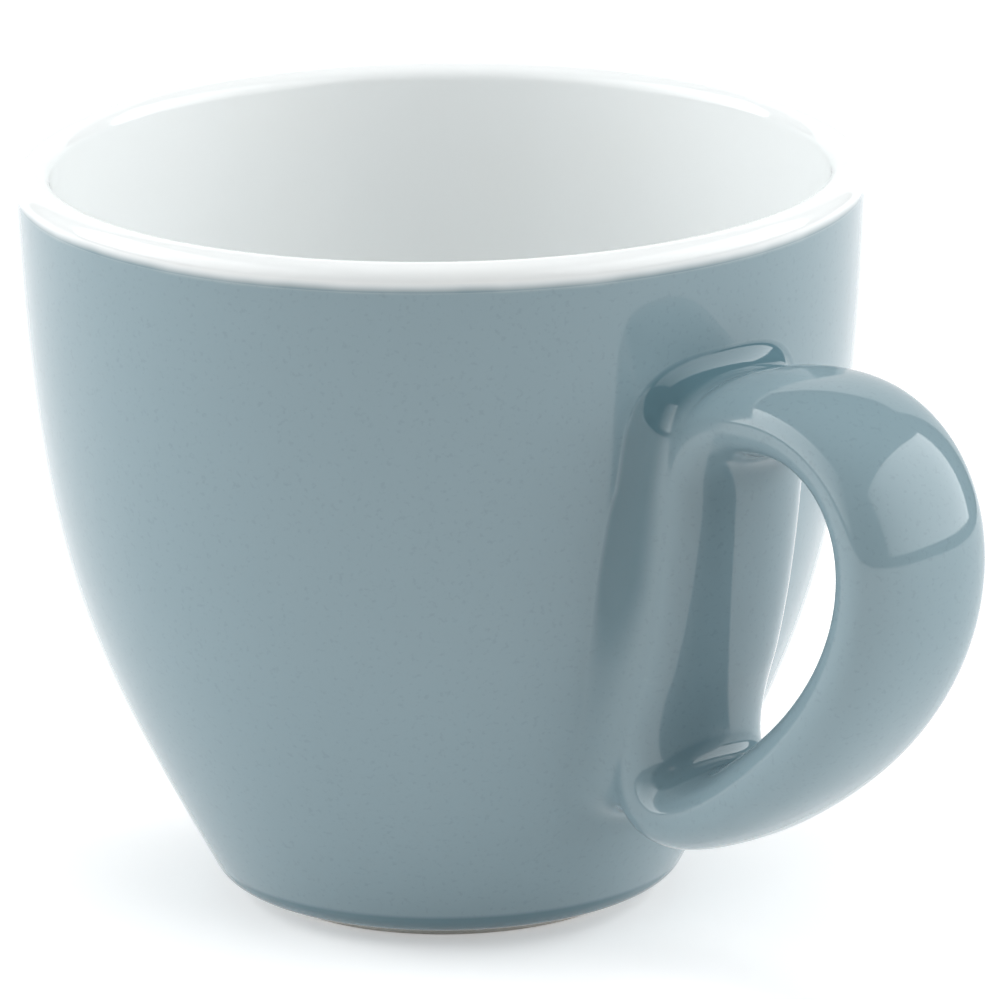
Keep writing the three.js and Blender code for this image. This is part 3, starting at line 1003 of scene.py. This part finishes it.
def camera_axes(studio):
    """The camera's place and its right, up and backward directions, about the cup's axis."""
    away = math.pi / 2 - studio.bearing
    towards = Matrix.Rotation(away, 3, "Z")
    tilt, pan = studio.tilt, studio.pan
    ahead = Vector((math.sin(pan) * math.cos(tilt), math.cos(pan) * math.cos(tilt), -math.sin(tilt)))
    right = ahead.cross(Vector((0, 0, 1))).normalized()
    up = right.cross(ahead)
    cosine, sine = math.cos(studio.roll), math.sin(studio.roll)
    right, up = cosine * right + sine * up, -sine * right + cosine * up
    eye = towards @ Vector((0, -studio.distance, studio.eye)) + Vector((AXIS_X, 0, 0))
    return eye, towards @ right, towards @ up, towards @ -ahead


def around(studio, side, climb, reach):
    """Places round the cup, by their bearing to the right of the camera, their climb over the table and
    their distance."""
    turn = side - studio.bearing
    flat = reach * np.cos(climb)
    return AXIS_X + flat * np.cos(turn), flat * np.sin(turn), reach * np.sin(climb)


SENSOR_WIDTH = 36.0
CLIP_RANGE = (0.01, 20.0)
TABLE_STEPS = 96
DOME_SIDES, DOME_CLIMBS = 73, 25


class CUP_OT_studio(bpy.types.Operator):
    """Camera, softboxes, dim room and pale table"""

    bl_idname = "cup.studio"
    bl_label = "Studio"

    def execute(self, context):
        scene = context.scene
        studio = scene.cup_studio
        self.add_camera(scene, studio)
        self.add_lamps(scene, studio)
        self.add_sheets(studio)
        scene.view_settings.view_transform = "Standard"
        return {"FINISHED"}

    def add_camera(self, scene, studio):
        lens = bpy.data.cameras.new("camera")
        lens.lens = studio.lens
        lens.sensor_width = SENSOR_WIDTH
        lens.clip_start, lens.clip_end = CLIP_RANGE
        camera = bpy.data.objects.new("camera", lens)
        eye, right, up, back = camera_axes(studio)
        camera.matrix_world = Matrix.Translation(eye) @ Matrix((right, up, back)).transposed().to_4x4()
        scene.collection.objects.link(camera)
        scene.camera = camera

    def add_lamps(self, scene, studio):
        world = bpy.data.worlds.new("studio")
        scene.world = world
        shader = Shader(world)
        white = {"Color": (1, 1, 1, 1), "Strength": seen_rays(shader)}
        background = shader.node("ShaderNodeBackground", None, white)[0]
        shader.node("ShaderNodeOutputWorld", None, {"Surface": background})
        aim = (AXIS_X, 0, studio.aim)
        size = (studio.box_width, studio.box_height)
        right = around(studio, studio.side, studio.climb, studio.reach)
        left = around(studio, -studio.side, studio.climb, studio.reach)
        softbox("right_softbox", right, aim, size, studio.right_near, studio.right_far)
        softbox("left_softbox", left, aim, size, studio.left_far, studio.left_near)
        above = (AXIS_X, 0, studio.top_height)
        size = (studio.top_size, studio.top_size)
        overhead = softbox("top_softbox", above, aim, size, studio.top, studio.top)
        overhead.visible_glossy = False

    def add_sheets(self, studio):
        reach, turn = np.meshgrid([0.0, studio.table], np.linspace(0, 2 * math.pi, TABLE_STEPS + 1))
        level = np.full_like(turn, -studio.table_drop)
        round_table = np.stack([AXIS_X + reach * np.cos(turn), reach * np.sin(turn), level], axis=-1)
        stage_mesh("table", round_table, floor_material(studio))
        shade = room_material(studio)
        start, end = studio.gap_side, 2 * math.pi - studio.gap_side
        spans = {
            "room": ((-start, start), (studio.room_floor, math.pi / 2)),
            "ceiling": ((start, end), (studio.gap_top, math.pi / 2)),
        }
        for name, (sides, climbs) in spans.items():
            side, climb = np.meshgrid(np.linspace(*sides, DOME_SIDES), np.linspace(*climbs, DOME_CLIMBS))
            dome = np.stack(around(studio, side, climb, studio.room_radius), axis=-1)
            stage_mesh(name, dome, shade).visible_camera = False


class CUP_PT_panel(bpy.types.Panel):
    """Builds the cup piece by piece"""

    bl_idname = "CUP_PT_panel"
    bl_label = "Espresso cup"
    bl_space_type = "VIEW_3D"
    bl_region_type = "UI"
    bl_category = "Cup"

    def draw(self, context):
        for operator in OPERATORS:
            self.layout.operator(operator.bl_idname)
        for name, group in GROUPS.items():
            box = self.layout.box()
            for field in group.__annotations__:
                box.prop(getattr(context.scene, name), field)


GROUPS = {
    "cup_sizes": CupSizes,
    "cup_handle": HandleSizes,
    "cup_colours": GlazeColours,
    "cup_studio": StudioSettings,
}
OPERATORS = (CUP_OT_bowl, CUP_OT_lining, CUP_OT_wall_glaze, CUP_OT_well_glaze, CUP_OT_handle, CUP_OT_studio)
CLASSES = (*GROUPS.values(), *OPERATORS, CUP_PT_panel)


def register():
    for cls in CLASSES:
        bpy.utils.register_class(cls)
    for name, group in GROUPS.items():
        setattr(bpy.types.Scene, name, bpy.props.PointerProperty(type=group))


def unregister():
    for name in GROUPS:
        delattr(bpy.types.Scene, name)
    for cls in reversed(CLASSES):
        bpy.utils.unregister_class(cls)


def main():
    register()
    bpy.ops.cup.bowl()
    bpy.ops.cup.lining()
    bpy.ops.cup.wall_glaze()
    bpy.ops.cup.well_glaze()
    bpy.ops.cup.handle()
    bpy.ops.cup.studio()


if __name__ == "__main__":
    main()
